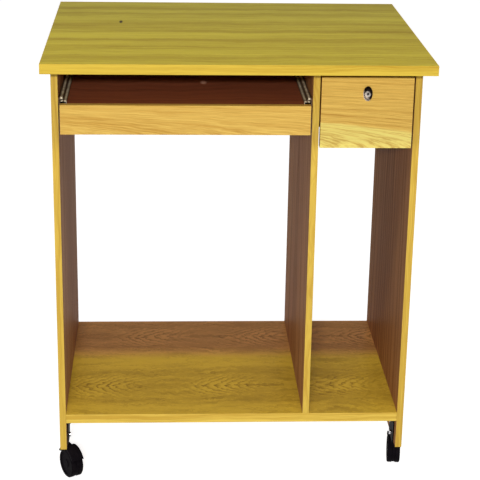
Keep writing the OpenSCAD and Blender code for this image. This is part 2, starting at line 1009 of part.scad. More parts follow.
module wheel_fl_a() {
  color(black) at_fl() wheel();
}

module wheel_fl_b() {
  color(black) at_fl() mirror([1, 0, 0]) wheel();
}

module wheel_fr_a() {
  color(black) at_fr() wheel();
}

module wheel_fr_b() {
  color(black) at_fr() mirror([1, 0, 0]) wheel();
}

module wheel_bl_a() {
  color(black) at_bl() wheel();
}

module wheel_bl_b() {
  color(black) at_bl() mirror([1, 0, 0]) wheel();
}

module wheel_br_a() {
  color(black) at_br() wheel();
}

module wheel_br_b() {
  color(black) at_br() mirror([1, 0, 0]) wheel();
}

top_panel();
top_edge_band();
side_panel_left();
side_panel_right();
divider_panel();
bottom_shelf();
front_edge_bands();
back_rail_left();
back_rail_right();
drawer_top_rail();
carcass_screws();
carcass_dowels();
tray_outer_left();
tray_outer_right();
drawer_outer_left();
drawer_outer_right();
tray_inner_left();
tray_inner_right();
drawer_inner_left();
drawer_inner_right();
tray_cage_left();
tray_cage_right();
drawer_cage_left();
drawer_cage_right();
tray_balls_left();
tray_balls_right();
drawer_balls_left();
drawer_balls_right();
slide_screws();
tray_screws();
drawer_screws();
tray_board();
tray_fascia();
drawer_front();
drawer_side_left();
drawer_side_right();
drawer_back();
drawer_bottom();
lock_body();
lock_plug();
lock_cam();
caster_brackets();
bracket_screws();
caster_stems();
hood_fl();
hood_fr();
hood_bl();
hood_br();
axle_fl();
axle_fr();
axle_bl();
axle_br();
wheel_fl_a();
wheel_fl_b();
wheel_fr_a();
wheel_fr_b();
wheel_bl_a();
wheel_bl_b();
wheel_br_a();
wheel_br_b();
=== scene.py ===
"""Looks of a small computer desk: boards, slides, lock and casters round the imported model.

Lengths are in metres, Z is up and the desk's front faces minus Y."""

import json
import math

import bmesh
import bpy
from mathutils import Matrix, Vector

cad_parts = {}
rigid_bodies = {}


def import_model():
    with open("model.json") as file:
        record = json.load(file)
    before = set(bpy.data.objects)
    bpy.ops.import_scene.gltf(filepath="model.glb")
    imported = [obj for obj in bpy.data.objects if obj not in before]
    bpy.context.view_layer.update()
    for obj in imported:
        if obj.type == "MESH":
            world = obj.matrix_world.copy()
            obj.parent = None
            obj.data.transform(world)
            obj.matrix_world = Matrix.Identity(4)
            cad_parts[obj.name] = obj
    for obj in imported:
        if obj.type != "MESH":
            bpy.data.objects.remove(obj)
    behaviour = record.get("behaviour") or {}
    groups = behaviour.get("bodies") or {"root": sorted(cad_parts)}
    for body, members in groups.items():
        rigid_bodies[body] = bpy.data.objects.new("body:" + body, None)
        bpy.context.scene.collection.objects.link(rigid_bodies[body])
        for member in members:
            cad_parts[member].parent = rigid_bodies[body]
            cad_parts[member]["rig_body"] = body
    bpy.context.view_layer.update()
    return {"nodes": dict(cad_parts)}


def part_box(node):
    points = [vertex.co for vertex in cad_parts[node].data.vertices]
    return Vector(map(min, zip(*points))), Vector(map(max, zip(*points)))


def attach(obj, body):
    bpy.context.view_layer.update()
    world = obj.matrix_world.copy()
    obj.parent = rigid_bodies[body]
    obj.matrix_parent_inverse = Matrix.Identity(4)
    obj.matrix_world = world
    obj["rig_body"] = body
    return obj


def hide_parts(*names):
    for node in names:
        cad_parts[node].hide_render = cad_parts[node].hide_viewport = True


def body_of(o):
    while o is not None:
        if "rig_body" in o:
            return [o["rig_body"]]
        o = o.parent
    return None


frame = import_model()


def srgb(red, green, blue):
    """Linear colour of an 8-bit screen colour."""
    def linear(value):
        value /= 255.0
        return value / 12.92 if value <= 0.04045 else ((value + 0.055) / 1.055) ** 2.4
    return (linear(red), linear(green), linear(blue), 1.0)


# Camera, as the photograph was taken, and the place that the lamps are aimed at
CAMERA_AT = (-0.11587, -2.47051, 1.26351)
CAMERA_YAW = math.radians(3.09)
CAMERA_PITCH = math.radians(19.714)
CAMERA_ROLL = math.radians(1.003)
FOCAL_LENGTH = 111.72
SENSOR_WIDTH = 36.0
DESK_MIDDLE = (0.0, 0.0, 0.45)

# Eased edges of the merged copies
BOARD_EDGE = 0.0004
WELD_REACH = 0.000002
FLAT_ANGLE = math.radians(0.5)
SHARP_ANGLE = math.radians(35)

# An edge band taller than this stands upright
UPRIGHT_BAND = 0.1

# Depth of fine relief on steel, and of coarser relief on wood, paint and plastic
STEEL_RELIEF = 0.0001
SKIN_RELIEF = 0.0002


class Nodes:
    """A node tree, and short calls that add nodes to it."""

    def __init__(self, tree):
        self.tree = tree

    def add(self, kind, settings=None, **inputs):
        """Adds a node, sets its properties, and sets or links its inputs.

        An input is given by its name, or as i0, i1 and so on by its number."""
        node = self.tree.nodes.new(kind)
        for key, value in (settings or {}).items():
            setattr(node, key, value)
        for key, value in inputs.items():
            numbered = key[0] == "i" and key[1:].isdigit()
            socket = node.inputs[int(key[1:]) if numbered else key]
            if isinstance(value, bpy.types.NodeSocket):
                self.tree.links.new(value, socket)
            else:
                socket.default_value = value
        return node

    def maths(self, operation, first, second=0.0, third=0.0, clamp=False):
        """One sum of up to three numbers, held from 0 to 1 where it is clamped."""
        settings = {"operation": operation, "use_clamp": clamp}
        return self.add("ShaderNodeMath", settings, i0=first, i1=second, i2=third).outputs[0]

    def vector(self, operation, first, second=(0.0, 0.0, 0.0)):
        """One sum of two vectors."""
        node = self.add("ShaderNodeVectorMath", {"operation": operation}, i0=first, i1=second)
        return node.outputs["Value" if operation in ("LENGTH", "DOT_PRODUCT") else "Vector"]

    def split(self, vector):
        """X, Y and Z of a vector."""
        return tuple(self.add("ShaderNodeSeparateXYZ", None, Vector=vector).outputs)

    def noise(self, where, scale, detail, roughness):
        """Random marks from 0 to 1, whose scale is one number or one for each axis."""
        if isinstance(scale, tuple):
            where, scale = self.vector("MULTIPLY", where, scale), 1.0
        return self.add("ShaderNodeTexNoise", None, Vector=where, Scale=scale, Detail=detail,
                        Roughness=roughness).outputs["Fac"]

    def swing(self, where, scale, detail, roughness):
        """Random marks to both sides of 0."""
        return self.maths("SUBTRACT", self.noise(where, scale, detail, roughness), 0.5)

    def ramp(self, value, start, end):
        """Smooth rise from 0 at start to 1 at end."""
        reach = {"From Min": start, "From Max": end}
        return self.add("ShaderNodeMapRange", {"interpolation_type": "SMOOTHSTEP"}, Value=value,
                        **reach).outputs[0]

    def mix(self, factor, first, second, blend="MIX"):
        """First colour turning into the second as the factor rises."""
        node = self.add("ShaderNodeMix", {"data_type": "RGBA", "blend_type": blend},
                        i0=factor, i6=first, i7=second)
        return node.outputs[2]

    def seen(self):
        """1 for what the camera sees, straight or in a reflection, and else 0."""
        path = self.add("ShaderNodeLightPath")
        seen = path.outputs["Is Camera Ray"]
        for kind in ("Is Glossy Ray", "Is Transmission Ray"):
            seen = self.maths("MAXIMUM", seen, path.outputs[kind])
        return seen


class Finish(Nodes):
    """A material with one Principled shader."""

    def __init__(self, name, **sockets):
        self.material = bpy.data.materials.new(name)
        self.material.use_nodes = True
        super().__init__(self.material.node_tree)
        self.shader = self.tree.nodes["Principled BSDF"]
        for socket, value in sockets.items():
            self.shader.inputs[socket.replace("_", " ")].default_value = value
        self.place = self.add("ShaderNodeTexCoord").outputs["Object"]

    def link(self, output, socket):
        """Links a node's output to a socket of the shader."""
        self.tree.links.new(output, self.shader.inputs[socket])

    def roughen(self, marks, spread, middle):
        """Roughness that goes with the marks, by half of the spread to each side."""
        start = middle - spread / 2.0
        self.link(self.maths("MULTIPLY_ADD", marks, spread, start), "Roughness")

    def bump(self, height, strength, depth):
        """Relief as high as the marks, down to a depth."""
        node = self.add("ShaderNodeBump", None, Height=height, Strength=strength, Distance=depth)
        self.link(node.outputs["Normal"], "Normal")

    def sideways(self):
        """How far a face is turned to the left or right, from 0 to 1."""
        facing = self.add("ShaderNodeNewGeometry").outputs["True Normal"]
        return self.maths("ABSOLUTE", self.split(facing)[0])


# Turns that lay the grain along one axis, and axes along which a tint of painted light changes the
# tone
GRAIN_ALONG_X = (0.0, 0.0, 0.0)
GRAIN_ALONG_Y = (0.0, 0.0, math.radians(90))
GRAIN_ALONG_Z = (0.0, math.radians(90), 0.0)
ALONG_X, ALONG_Y = 0, 1

# Scales of the marks in wood: along the grain, across it and into the board
SWAY_SCALE = (7.0, 26.0, 26.0)
ROAM_SCALE = (8.0, 3.0, 3.0)
ROUGH_SCALE = (90.0, 160.0, 160.0)
STREAK_SCALE = (2.0, 70.0, 70.0)
BAND_SCALE = (0.9, 12.0, 12.0)
FLECK_SCALE = (14.0, 130.0, 130.0)
PORE_SCALE = (28.0, 900.0, 900.0)

# How far the figure sways and roams, and how far the border of the painted light tint sways
FIGURE_SWAY = 0.012
FIGURE_ROAM = 8.0
PAINTED_LIGHT_SWAY = 0.03

# Growth rings: how sharply they darken and end, and their own mean, which leaves the tone alone
RING_RISE = 2.6
RING_END = 5.0
RING_MEAN = 0.3

# Rings in groups show fully at the middle of a group and fade towards the next
GROUP_SHOWN = 1.15
GROUP_FADE = -2.8

# Tone of plain wood between pale at 0 and deep at 1, and how strongly the marks change it
PLAIN_TONE = 0.45
MARK_DEPTH = 4.0

# Another wood covers pale wood by this much of its share, and deep wood by 1 less
EDGE_COVER = 1.4

# A spot fades out at this many times its reach, and starts to at 1 less
SPOT_REACH = 1.6

# Pores: their darkest shade and its spread, spread of roughness, share of rings in the relief
PORE_SHADE = 0.82
PORE_SPREAD = 0.36
PORE_ROUGHNESS = 0.14
RING_RELIEF = 0.5

# Small dark knot in the top and a pale painted highlight on the tray: middle, reach each way, colour
KNOT = ((-0.190, 0.071, 0.750), (0.0024, 0.0096, 0.0048), (0.03, 0.018, 0.008, 1.0))
TRAY_PAINTED_HIGHLIGHT = ((-0.050, -0.0235, 0.667), (0.0042, 0.009, 0.01), (1.0, 0.56, 0.4, 1.0))

# Painted shade of the gaps beside the fascia and drawer front: reddish brown on their end faces,
# those turned this far to the side
GAP_PAINTED_SHADE = (0.42, 0.16, 0.04, 1.0)
GAP_SHADE_FACING = 0.6


class Wood(Finish):
    """Printed wood laminate, drawn round the heart of its cathedral figure."""

    def __init__(self, name, grain, heart, gloss):
        super().__init__(name, Specular_IOR_Level=gloss)
        moved = self.add("ShaderNodeMapping", {"vector_type": "POINT"}, Vector=self.place,
                         Location=tuple(-value for value in heart)).outputs[0]
        self.turned = self.add("ShaderNodeMapping", {"vector_type": "POINT"}, Vector=moved,
                               Rotation=grain).outputs[0]
        self.along, self.side, self.deep_in = self.split(self.turned)
        self.sway = self.swing(self.turned, SWAY_SCALE, detail=3.0, roughness=0.55)

    def draw_figure(self, width, fold, power, taper, wander, jag, straight):
        """Makes the figure, a number that is the same all along one line of the grain.

        The streaks follow across, which is the figure, or the plain distance from the heart
        where they run straight."""
        swayed_side = self.maths("MULTIPLY_ADD", self.sway, FIGURE_SWAY, self.side)
        folded = self.maths("PINGPONG", self.maths("ABSOLUTE", swayed_side), fold)
        self.off = self.maths("ADD", folded, self.maths("ABSOLUTE", self.deep_in))
        self.arch = self.maths("POWER", self.maths("DIVIDE", self.off, width), power)
        leaning = self.maths("MULTIPLY_ADD", self.along, taper, self.arch)
        roam = self.swing(self.turned, ROAM_SCALE, detail=2.0, roughness=0.5)
        drift = self.maths("MULTIPLY", roam, wander * FIGURE_ROAM)
        rough = self.swing(self.turned, ROUGH_SCALE, detail=2.0, roughness=0.6)
        smooth = self.maths("ADD", leaning, drift)
        self.figure = self.maths("MULTIPLY_ADD", rough, jag, smooth)
        if straight:
            stir = self.maths("ADD", drift, self.maths("MULTIPLY", rough, jag))
            self.across = self.maths("MULTIPLY_ADD", stir, width, self.off)
        else:
            self.across = self.maths("MULTIPLY", self.figure, width)

    def draw_rings(self, lines, ring_reach, groups):
        """Makes the growth rings and gives how much they darken the wood."""
        phase = self.maths("FRACT", self.maths("MULTIPLY", self.figure, lines))
        rise = self.maths("POWER", phase, RING_RISE)
        end = self.maths("MULTIPLY", self.maths("SUBTRACT", 1.0, phase), RING_END)
        self.line = self.maths("MINIMUM", rise, end)
        faint = self.maths("DIVIDE", self.arch, ring_reach)
        shown = self.maths("SUBTRACT", 1.0, faint, clamp=True)
        if groups:
            length, first, slant = groups
            after_first = self.maths("SUBTRACT", self.along, first)
            slanted = self.maths("MULTIPLY_ADD", self.side, -slant, after_first)
            from_middle = self.maths("PINGPONG", self.maths("DIVIDE", slanted, length), 0.5)
            in_group = self.maths("MULTIPLY_ADD", from_middle, GROUP_FADE, GROUP_SHOWN, clamp=True)
            shown = self.maths("MULTIPLY", shown, in_group)
        return self.maths("MULTIPLY", self.maths("SUBTRACT", self.line, RING_MEAN), shown)

    def tone(self, ring, ring_depth, streaks, bands, flecks, sapwood):
        """Tone from pale at 0 to deep at 1: rings, long streaks, broad bands, short flecks."""
        flow = self.add("ShaderNodeCombineXYZ", None, X=self.along, Y=self.across,
                        Z=self.deep_in).outputs[0]
        tone = self.maths("MULTIPLY_ADD", ring, ring_depth, PLAIN_TONE)
        for scale, weight in ((STREAK_SCALE, streaks), (BAND_SCALE, bands), (FLECK_SCALE, flecks)):
            mark = self.swing(flow, scale, detail=3.0, roughness=0.6)
            tone = self.maths("MULTIPLY_ADD", mark, MARK_DEPTH * weight, tone)
        if sapwood:
            start, end, share = sapwood
            tone = self.maths("MULTIPLY_ADD", self.ramp(self.off, start, end), -share, tone)
        return self.maths("ADD", tone, 0.0, clamp=True)

    def edged(self, base, tone, start, end, colour, share):
        """Another wood beyond a line of the figure, fainter where the first is deep."""
        paler = self.maths("MULTIPLY", self.maths("SUBTRACT", EDGE_COVER, tone), share)
        beyond = self.ramp(self.figure, start, end)
        return self.mix(self.maths("MULTIPLY", beyond, paler), base, colour)

    def painted_light_tinted(self, base, axis, start, end, tint):
        """Painted light: a tint from one place along an axis to the next, with a swaying border, that
        paints shade on the top and shelf and sheen on the side panels.
        """
        swayed = self.maths("MULTIPLY_ADD", self.sway, PAINTED_LIGHT_SWAY, self.split(self.place)[axis])
        return self.mix(self.ramp(swayed, start, end), base, tint, "MULTIPLY")

    def spotted(self, base, middle, reach, colour):
        """A small round spot with a soft rim."""
        aside = self.vector("DIVIDE", self.vector("SUBTRACT", self.place, middle), reach)
        cover = self.maths("SUBTRACT", SPOT_REACH, self.vector("LENGTH", aside), clamp=True)
        return self.mix(cover, base, colour)

    def gap_shade_ended(self, base):
        """Painted shade of the gaps: reddish brown on the faces at both ends."""
        return self.mix(self.maths("GREATER_THAN", self.sideways(), GAP_SHADE_FACING), base, GAP_PAINTED_SHADE)

    def add_pores(self, base, roughness):
        """Fine pores along the grain, in colour, roughness and relief."""
        pores = self.noise(self.turned, PORE_SCALE, detail=2.0, roughness=0.6)
        shade = self.maths("MULTIPLY_ADD", pores, PORE_SPREAD, PORE_SHADE)
        grey = self.add("ShaderNodeCombineColor", None, i0=shade, i1=shade, i2=shade).outputs[0]
        self.link(self.mix(1.0, base, grey, "MULTIPLY"), "Base Color")
        self.roughen(pores, PORE_ROUGHNESS, roughness)
        relief = self.maths("ADD", pores, self.maths("MULTIPLY", self.line, RING_RELIEF))
        self.bump(relief, 0.22, SKIN_RELIEF)


def wood(name, pale, deep, grain, heart, width=0.03, fold=10.0, power=1.6, taper=0.0, wander=1.0,
         lines=1.0, ring_depth=0.5, ring_reach=1000.0, streaks=0.5, bands=0.5, flecks=0.3, jag=0.3,
         groups=None, sapwood=None, edge=None, painted_light_tint=None, spot=None, gap_shade_ends=False, gloss=0.1,
         roughness=0.42):
    """Printed wood laminate whose grain lies along the board.

    heart is the middle of the cathedral figure, width its half width and fold the distance at
    which it is mirrored; power is how steeply its arch rises and taper how far its lines lean
    along the board; wander moves the figure about and jag roughens its lines. lines is how many
    rings one step of the figure holds, and they fade out where the arch reaches ring_reach.
    streaks, bands and flecks are the strengths of those marks. groups is (length, first, slant):
    the rings then come in groups of that length, which shift along the board by slant times the
    distance across it, and the streaks beside them run straight. sapwood is (start, end, share):
    how far from the heart the wood turns paler, and by how much. edge is (start, end, colour,
    share): another wood, bounded by a line of the figure. The painted light tint, (axis, start,
    end, tint), paints shade on the top and shelf and sheen on the side panels, from one place
    along X or Y to the next. spot is (middle, reach, colour). The flag for the ends paints the
    reddish brown shade of the gaps beside them onto the end faces."""
    finish = Wood(name, grain, heart, gloss)
    finish.draw_figure(width, fold, power, taper, wander, jag, straight=bool(groups))
    ring = finish.draw_rings(lines, ring_reach, groups)
    tone = finish.tone(ring, ring_depth, streaks, bands, flecks, sapwood)
    base = finish.mix(tone, pale, deep)
    if edge:
        base = finish.edged(base, tone, *edge)
    # Painted light: shade on the top and shelf, sheen on the side panels
    if painted_light_tint:
        base = finish.painted_light_tinted(base, *painted_light_tint)
    if spot:
        base = finish.spotted(base, *spot)
    # Painted shade of the gaps beside the board, on its end faces
    if gap_shade_ends:
        base = finish.gap_shade_ended(base)
    finish.add_pores(base, roughness)
    return finish.material


# Scales of the marks along brushed steel and of its cloudy tone, and the spread of roughness
BRUSHED_SCALE = 6.0
CLOUD_SCALE = 28.0
BRUSHED_SPREAD = 0.22


def metal(name, colour, roughness, brushed=(40.0, 40.0, 40.0), wear=0.12, metallic=1.0):
    """Steel with fine marks that follow its length."""
    finish = Finish(name, Metallic=metallic)
    brushed_at = finish.vector("MULTIPLY", finish.place, brushed)
    marks = finish.noise(brushed_at, BRUSHED_SCALE, detail=4.0, roughness=0.6)
    cloud = finish.noise(finish.place, CLOUD_SCALE, detail=3.0, roughness=0.5)
    dull = tuple(channel * (1.0 - 2.0 * wear) for channel in colour[:3]) + (1.0,)
    finish.link(finish.mix(cloud, dull, colour), "Base Color")
    finish.roughen(marks, BRUSHED_SPREAD, roughness)
    finish.bump(marks, 0.12, STEEL_RELIEF)
    return finish.material


# Middle and half width, in mm from the panel, of the two painted highlight lines along a slide
PAINTED_HIGHLIGHT_LINES = ((4.8, 2.0), (10.4, 2.2))
PAINTED_HIGHLIGHT_RISE = 0.6

# The painted highlight lines fade by a share between two measures of how far a face is turned to the
# side
PAINTED_HIGHLIGHT_FACING = (0.7, 0.98)
PAINTED_HIGHLIGHT_FADE = 0.7

# Patches in which the painted highlight lines break up: scale, contrast and start
PATCH_SCALE = (120.0, 90.0, 120.0)
PATCH_DEPTH = 2.4
PATCH_START = -0.3

# Colours of the slides' steel: painted shade between the races and painted highlight on them
SLIDE_PAINTED_SHADE = srgb(104, 84, 60)
SLIDE_PAINTED_HIGHLIGHT = srgb(255, 246, 214)


def highlight_painted_slide(name, panel, sense):
    """Galvanised slide with painted highlights on its two rounded races and painted shade between
    them.

    panel is the X of the panel's face and sense the side on which the slide lies."""
    finish = Finish(name, Metallic=0.2)
    across = finish.split(finish.place)[0]
    reach = finish.maths("MULTIPLY_ADD", across, 1000.0 * sense, -1000.0 * sense * panel)
    mottle = finish.noise(finish.place, PATCH_SCALE, detail=3.0, roughness=0.6)
    lines = []
    for middle, half in PAINTED_HIGHLIGHT_LINES:
        away = finish.maths("ABSOLUTE", finish.maths("SUBTRACT", reach, middle))
        lines.append(finish.maths("SUBTRACT", 1.0, finish.maths("DIVIDE", away, half), clamp=True))
    painted_bright = finish.maths("POWER", finish.maths("MAXIMUM", *lines), PAINTED_HIGHLIGHT_RISE)
    patches = finish.maths("MULTIPLY_ADD", mottle, PATCH_DEPTH, PATCH_START)
    highlight_shown = finish.maths("MULTIPLY", painted_bright, patches, clamp=True)
    highlight_faded = finish.maths("MULTIPLY", finish.ramp(finish.sideways(), *PAINTED_HIGHLIGHT_FACING), PAINTED_HIGHLIGHT_FADE)
    highlight_shown = finish.maths("MULTIPLY", highlight_shown, finish.maths("SUBTRACT", 1.0, highlight_faded))
    finish.link(finish.mix(highlight_shown, SLIDE_PAINTED_SHADE, SLIDE_PAINTED_HIGHLIGHT), "Base Color")
    finish.roughen(mottle, 0.2, 0.45)
    finish.bump(mottle, 0.1, STEEL_RELIEF)
    return finish.material


# Way towards which a reflection is painted brighter on the lock's steel, and scale and depth of the
# mottling there
LOWER_LEFT = (-0.8, 0.0, -0.6)
MOTTLE_SCALE = 700.0
MOTTLE_DEPTH = 0.001

lock_low, lock_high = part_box("lock_body")
lock_middle = ((lock_low.x + lock_high.x) / 2.0, lock_low.y, (lock_low.z + lock_high.z) / 2.0)


def lock_steel_painted_light(name, dark, bright, start, end, eye=0.0):
    """Plated steel of the lock, with a reflection painted bright towards its lower left.

    start and end are the distances that way from the middle between which it turns bright, and
    eye is the radius of a middle darkened with painted shade."""
    finish = Finish(name, Metallic=0.2, Specular_IOR_Level=0.1)
    aside = finish.vector("SUBTRACT", finish.place, lock_middle)
    mottle = finish.noise(aside, MOTTLE_SCALE, detail=2.0, roughness=0.5)
    that_way = finish.vector("DOT_PRODUCT", aside, LOWER_LEFT)
    mottled = finish.maths("MULTIPLY_ADD", mottle, MOTTLE_DEPTH, that_way)
    painted_bright = finish.ramp(mottled, start, end)
    if eye:
        out = finish.vector("LENGTH", finish.vector("MULTIPLY", aside, (1.0, 0.0, 1.0)))
        painted_bright = finish.maths("MULTIPLY", painted_bright, finish.ramp(out, 0.5 * eye, eye))
    finish.link(finish.mix(painted_bright, dark, bright), "Base Color")
    finish.roughen(mottle, 0.2, 0.4)
    finish.bump(mottle, 0.1, STEEL_RELIEF)
    return finish.material


# Dust on black: scale, least height that catches it, contrast, and how it lifts the colour
DUST_SCALE = 60.0
DUST_START = 0.45
DUST_DEPTH = 2.0
DUST_TIMES = 2.0
DUST_LIFT = 0.002


def black(name, colour, roughness, skin_scale, relief):
    """Black paint or moulded plastic with a fine skin and dust in its low spots."""
    finish = Finish(name, Specular_IOR_Level=0.015)
    skin = finish.noise(finish.place, skin_scale, detail=3.0, roughness=0.6)
    dust = finish.noise(finish.place, DUST_SCALE, detail=4.0, roughness=0.6)
    grey = tuple(channel * DUST_TIMES + DUST_LIFT for channel in colour[:3]) + (1.0,)
    caught = finish.maths("SUBTRACT", dust, DUST_START)
    dusty = finish.maths("MULTIPLY", caught, DUST_DEPTH, clamp=True)
    finish.link(finish.mix(dusty, colour, grey), "Base Color")
    finish.roughen(dust, 0.2, roughness)
    finish.bump(skin, relief, SKIN_RELIEF)
    return finish.material


# Every finish of the desk
FINISHES = {
    # Top: tinted darker and cooler towards the back, painted shade of the light falling off there
    "top": wood("top_laminate", srgb(198, 180, 64), srgb(158, 134, 40), GRAIN_ALONG_X,
                heart=(0.05, 0.42, 0.75), width=0.05, power=1.2, wander=0.12, lines=0.9,
                ring_depth=0.15, streaks=0.28, bands=0.6, flecks=0.25,
                painted_light_tint=(ALONG_Y, -0.15, 0.3, (0.9, 0.94, 1.16, 1.0)), spot=KNOT, gloss=0.006),
    "top_band": wood("top_band_laminate", srgb(206, 178, 66), srgb(178, 142, 44), GRAIN_ALONG_X,
                     heart=(0.0, -0.352, 0.78), width=0.02, wander=0.2, ring_depth=0.1),
    "front_band": wood("front_band_laminate", srgb(216, 184, 80), srgb(184, 145, 54),
                       GRAIN_ALONG_Z, heart=(0.1, -0.2, 0.0), width=0.02, ring_depth=0.2),
    "level_band": wood("shelf_band_laminate", srgb(231, 200, 91), srgb(200, 163, 64),
                       GRAIN_ALONG_X, heart=(0.0, -0.279, 0.09), width=0.02, wander=0.2,
                       ring_depth=0.1),
    # Side panels: base colour partly painted shade, browner than the golden edge bands of the same
    # boards; the left panel is tinted paler and bluer, a painted sheen
    "side": wood("side_laminate", srgb(196, 144, 96), srgb(134, 86, 52), GRAIN_ALONG_Z,
                 heart=(0.0, 0.03, 0.4), fold=0.2, taper=9.0, wander=0.4, lines=0.8,
                 ring_depth=0.4, painted_light_tint=(ALONG_X, 0.3, -0.26, (1.04, 1.16, 1.5, 1.0)),
                 gloss=0.006, roughness=0.5),
    # Shelf: tinted redder and much bluer behind the line where the top's shadow falls, the painted
    # colour of that shade
    "shelf": wood("shelf_laminate", srgb(199, 163, 56), srgb(128, 97, 28), GRAIN_ALONG_X,
                  heart=(0.01, -0.066, 0.126), width=0.019, fold=0.109, power=1.3, taper=-52.0,
                  wander=0.55, jag=1.6, ring_depth=1.6, ring_reach=4.0, streaks=0.3, bands=0.3,
                  flecks=0.35, groups=(0.205, -0.026, 0.35), sapwood=(0.05, 0.1, 0.42),
                  painted_light_tint=(ALONG_Y, 0.045, 0.105, (1.3, 1.03, 2.9, 1.0)), gloss=0.02),
    "rail": wood("rail_laminate", srgb(196, 150, 90), srgb(150, 102, 56), GRAIN_ALONG_X,
                 heart=(0.0, 0.22, 0.68), ring_depth=0.4, streaks=0.6, gloss=0.02),
    # Fascia: its end faces carry the painted shade of the gaps beside it
    "fascia": wood("fascia_laminate", srgb(239, 203, 106), srgb(204, 158, 72), GRAIN_ALONG_X,
                   heart=(-0.2, -0.179, 0.605), width=0.018, power=2.4, taper=26.0, wander=0.3,
                   lines=0.5, ring_depth=0.1, streaks=0.28, bands=0.35, flecks=0.6,
                   gap_shade_ends=True, gloss=0.006),
    # Drawer front: its end faces carry the painted shade of the gaps beside it
    "drawer": wood("drawer_front_laminate", srgb(235, 199, 103), srgb(189, 145, 65),
                   GRAIN_ALONG_X, heart=(0.13, -0.179, 0.59), width=0.018, power=2.4, taper=50.0,
                   wander=0.25, lines=0.45, ring_depth=0.3, streaks=0.34, bands=0.42, flecks=0.8,
                   gap_shade_ends=True, edge=(13.4, 11.0, srgb(238, 224, 126), 0.72), gloss=0.006),
    # Tray: its dark reddish brown is the golden laminate painted in shade; the pale spot on it is a
    # painted highlight
    "tray": wood("tray_laminate", srgb(166, 96, 66), srgb(128, 68, 44), GRAIN_ALONG_X,
                 heart=(0.0, 0.0, 0.66), ring_depth=0.2, streaks=0.4, spot=TRAY_PAINTED_HIGHLIGHT, gloss=0.05,
                 roughness=0.45),
    "box": wood("drawer_box_wood", srgb(214, 184, 132), srgb(188, 152, 100), GRAIN_ALONG_Y,
                heart=(0.1, 0.0, 0.5), ring_depth=0.4, streaks=0.4, roughness=0.55),
    # Drawer slides: reddish brown steel, painted shade for the dark gaps beside the drawer front
    "dark_slide": metal("drawer_slide_painted_shade_steel", srgb(108, 70, 36), 0.5, brushed=(60.0, 4.0, 60.0),
                        metallic=0.3),
    # Tray slides: painted highlights along the two races and painted shade between them
    "slide_left": highlight_painted_slide("left_slide_steel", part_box("tray_outer_left")[0].x, 1.0),
    "slide_right": highlight_painted_slide("right_slide_steel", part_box("tray_outer_right")[1].x, -1.0),
    "zinc": metal("zinc_steel", srgb(196, 196, 200), 0.38),
    "bright": metal("bright_steel", srgb(226, 226, 230), 0.22, wear=0.05),
    # Lock: painted reflection, bright to the lower left and dark to the upper right, and painted
    # shade in the middle of the plug
    "lock_plate": lock_steel_painted_light("lock_plate_steel", srgb(24, 14, 10), srgb(214, 198, 182),
                             0.0005, 0.0075),
    "lock_ring": lock_steel_painted_light("lock_ring_steel", srgb(84, 74, 66), srgb(250, 244, 236),
                            -0.0045, 0.0005),
    "lock_face": lock_steel_painted_light("lock_plug_steel", srgb(58, 52, 48), srgb(190, 184, 178),
                            -0.006, 0.0, eye=0.0028),
    "black_steel": black("black_painted_steel", srgb(6, 5, 6), 0.5, 900.0, 0.08),
    "black_plastic": black("black_nylon", srgb(15, 12, 16), 0.6, 1400.0, 0.15),
}

# The finish of every node
LOOKS = {
    "top_panel": "top", "top_edge_band": "top_band", "front_edge_bands": "front_band",
    "side_panel_left": "side", "side_panel_right": "side", "divider_panel": "side",
    "bottom_shelf": "shelf", "back_rail_left": "rail", "back_rail_right": "rail",
    "drawer_top_rail": "rail", "carcass_dowels": "box",
    "tray_board": "tray", "tray_fascia": "fascia", "drawer_front": "drawer",
    "drawer_side_left": "box", "drawer_side_right": "box", "drawer_back": "box",
    "drawer_bottom": "box",
    "carcass_screws": "zinc", "slide_screws": "zinc", "tray_screws": "zinc",
    "drawer_screws": "zinc", "caster_stems": "zinc", "lock_cam": "zinc",
    "lock_plug": "lock_face", "lock_body": "lock_plate",
    "caster_brackets": "black_steel", "bracket_screws": "bright",
}
for run in ("tray", "drawer"):
    for side in ("left", "right"):
        for member in ("outer", "inner", "cage"):
            LOOKS[f"{run}_{member}_{side}"] = "slide_" + side if run == "tray" else "dark_slide"
        LOOKS[f"{run}_balls_{side}"] = "bright"
for corner in ("fl", "fr", "bl", "br"):
    LOOKS[f"hood_{corner}"] = "black_plastic"
    LOOKS[f"axle_{corner}"] = "zinc"
    for wheel in "ab":
        LOOKS[f"wheel_{corner}_{wheel}"] = "black_plastic"

# Finishes of boards, whose edges are eased
WOODEN = ("top", "top_band", "front_band", "side", "shelf", "rail", "fascia", "drawer", "tray", "box")


def add_piece(name, shape, look, body):
    """Makes a finished piece of a bmesh and lets it ride on a body."""
    mesh = bpy.data.meshes.new(name)
    shape.to_mesh(mesh)
    shape.free()
    piece = bpy.data.objects.new(name, mesh)
    bpy.context.collection.objects.link(piece)
    mesh.materials.append(FINISHES[look])
    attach(piece, body)
    return piece


def eased(node, look, name=None):
    """Merged copy of a board with its sharp edges eased, which stands for the node."""
    source = frame["nodes"][node]
    shape = bmesh.new()
    shape.from_mesh(source.data)
    bmesh.ops.remove_doubles(shape, verts=shape.verts, dist=WELD_REACH)
    bmesh.ops.dissolve_limit(shape, angle_limit=FLAT_ANGLE, verts=shape.verts, edges=shape.edges)
    piece = add_piece(name or node + "_eased", shape, look, body_of(source)[0])
    for attribute in ("custom_normal", "sharp_face", "sharp_edge"):
        if attribute in piece.data.attributes:
            piece.data.attributes.remove(piece.data.attributes[attribute])
    piece.data.shade_smooth()
    bevel = piece.modifiers.new("eased_edges", "BEVEL")
    bevel.width = BOARD_EDGE
    bevel.segments = 2
    bevel.limit_method = "ANGLE"
    bevel.angle_limit = SHARP_ANGLE
    bevel.harden_normals = True
    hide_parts(node)
    return piece


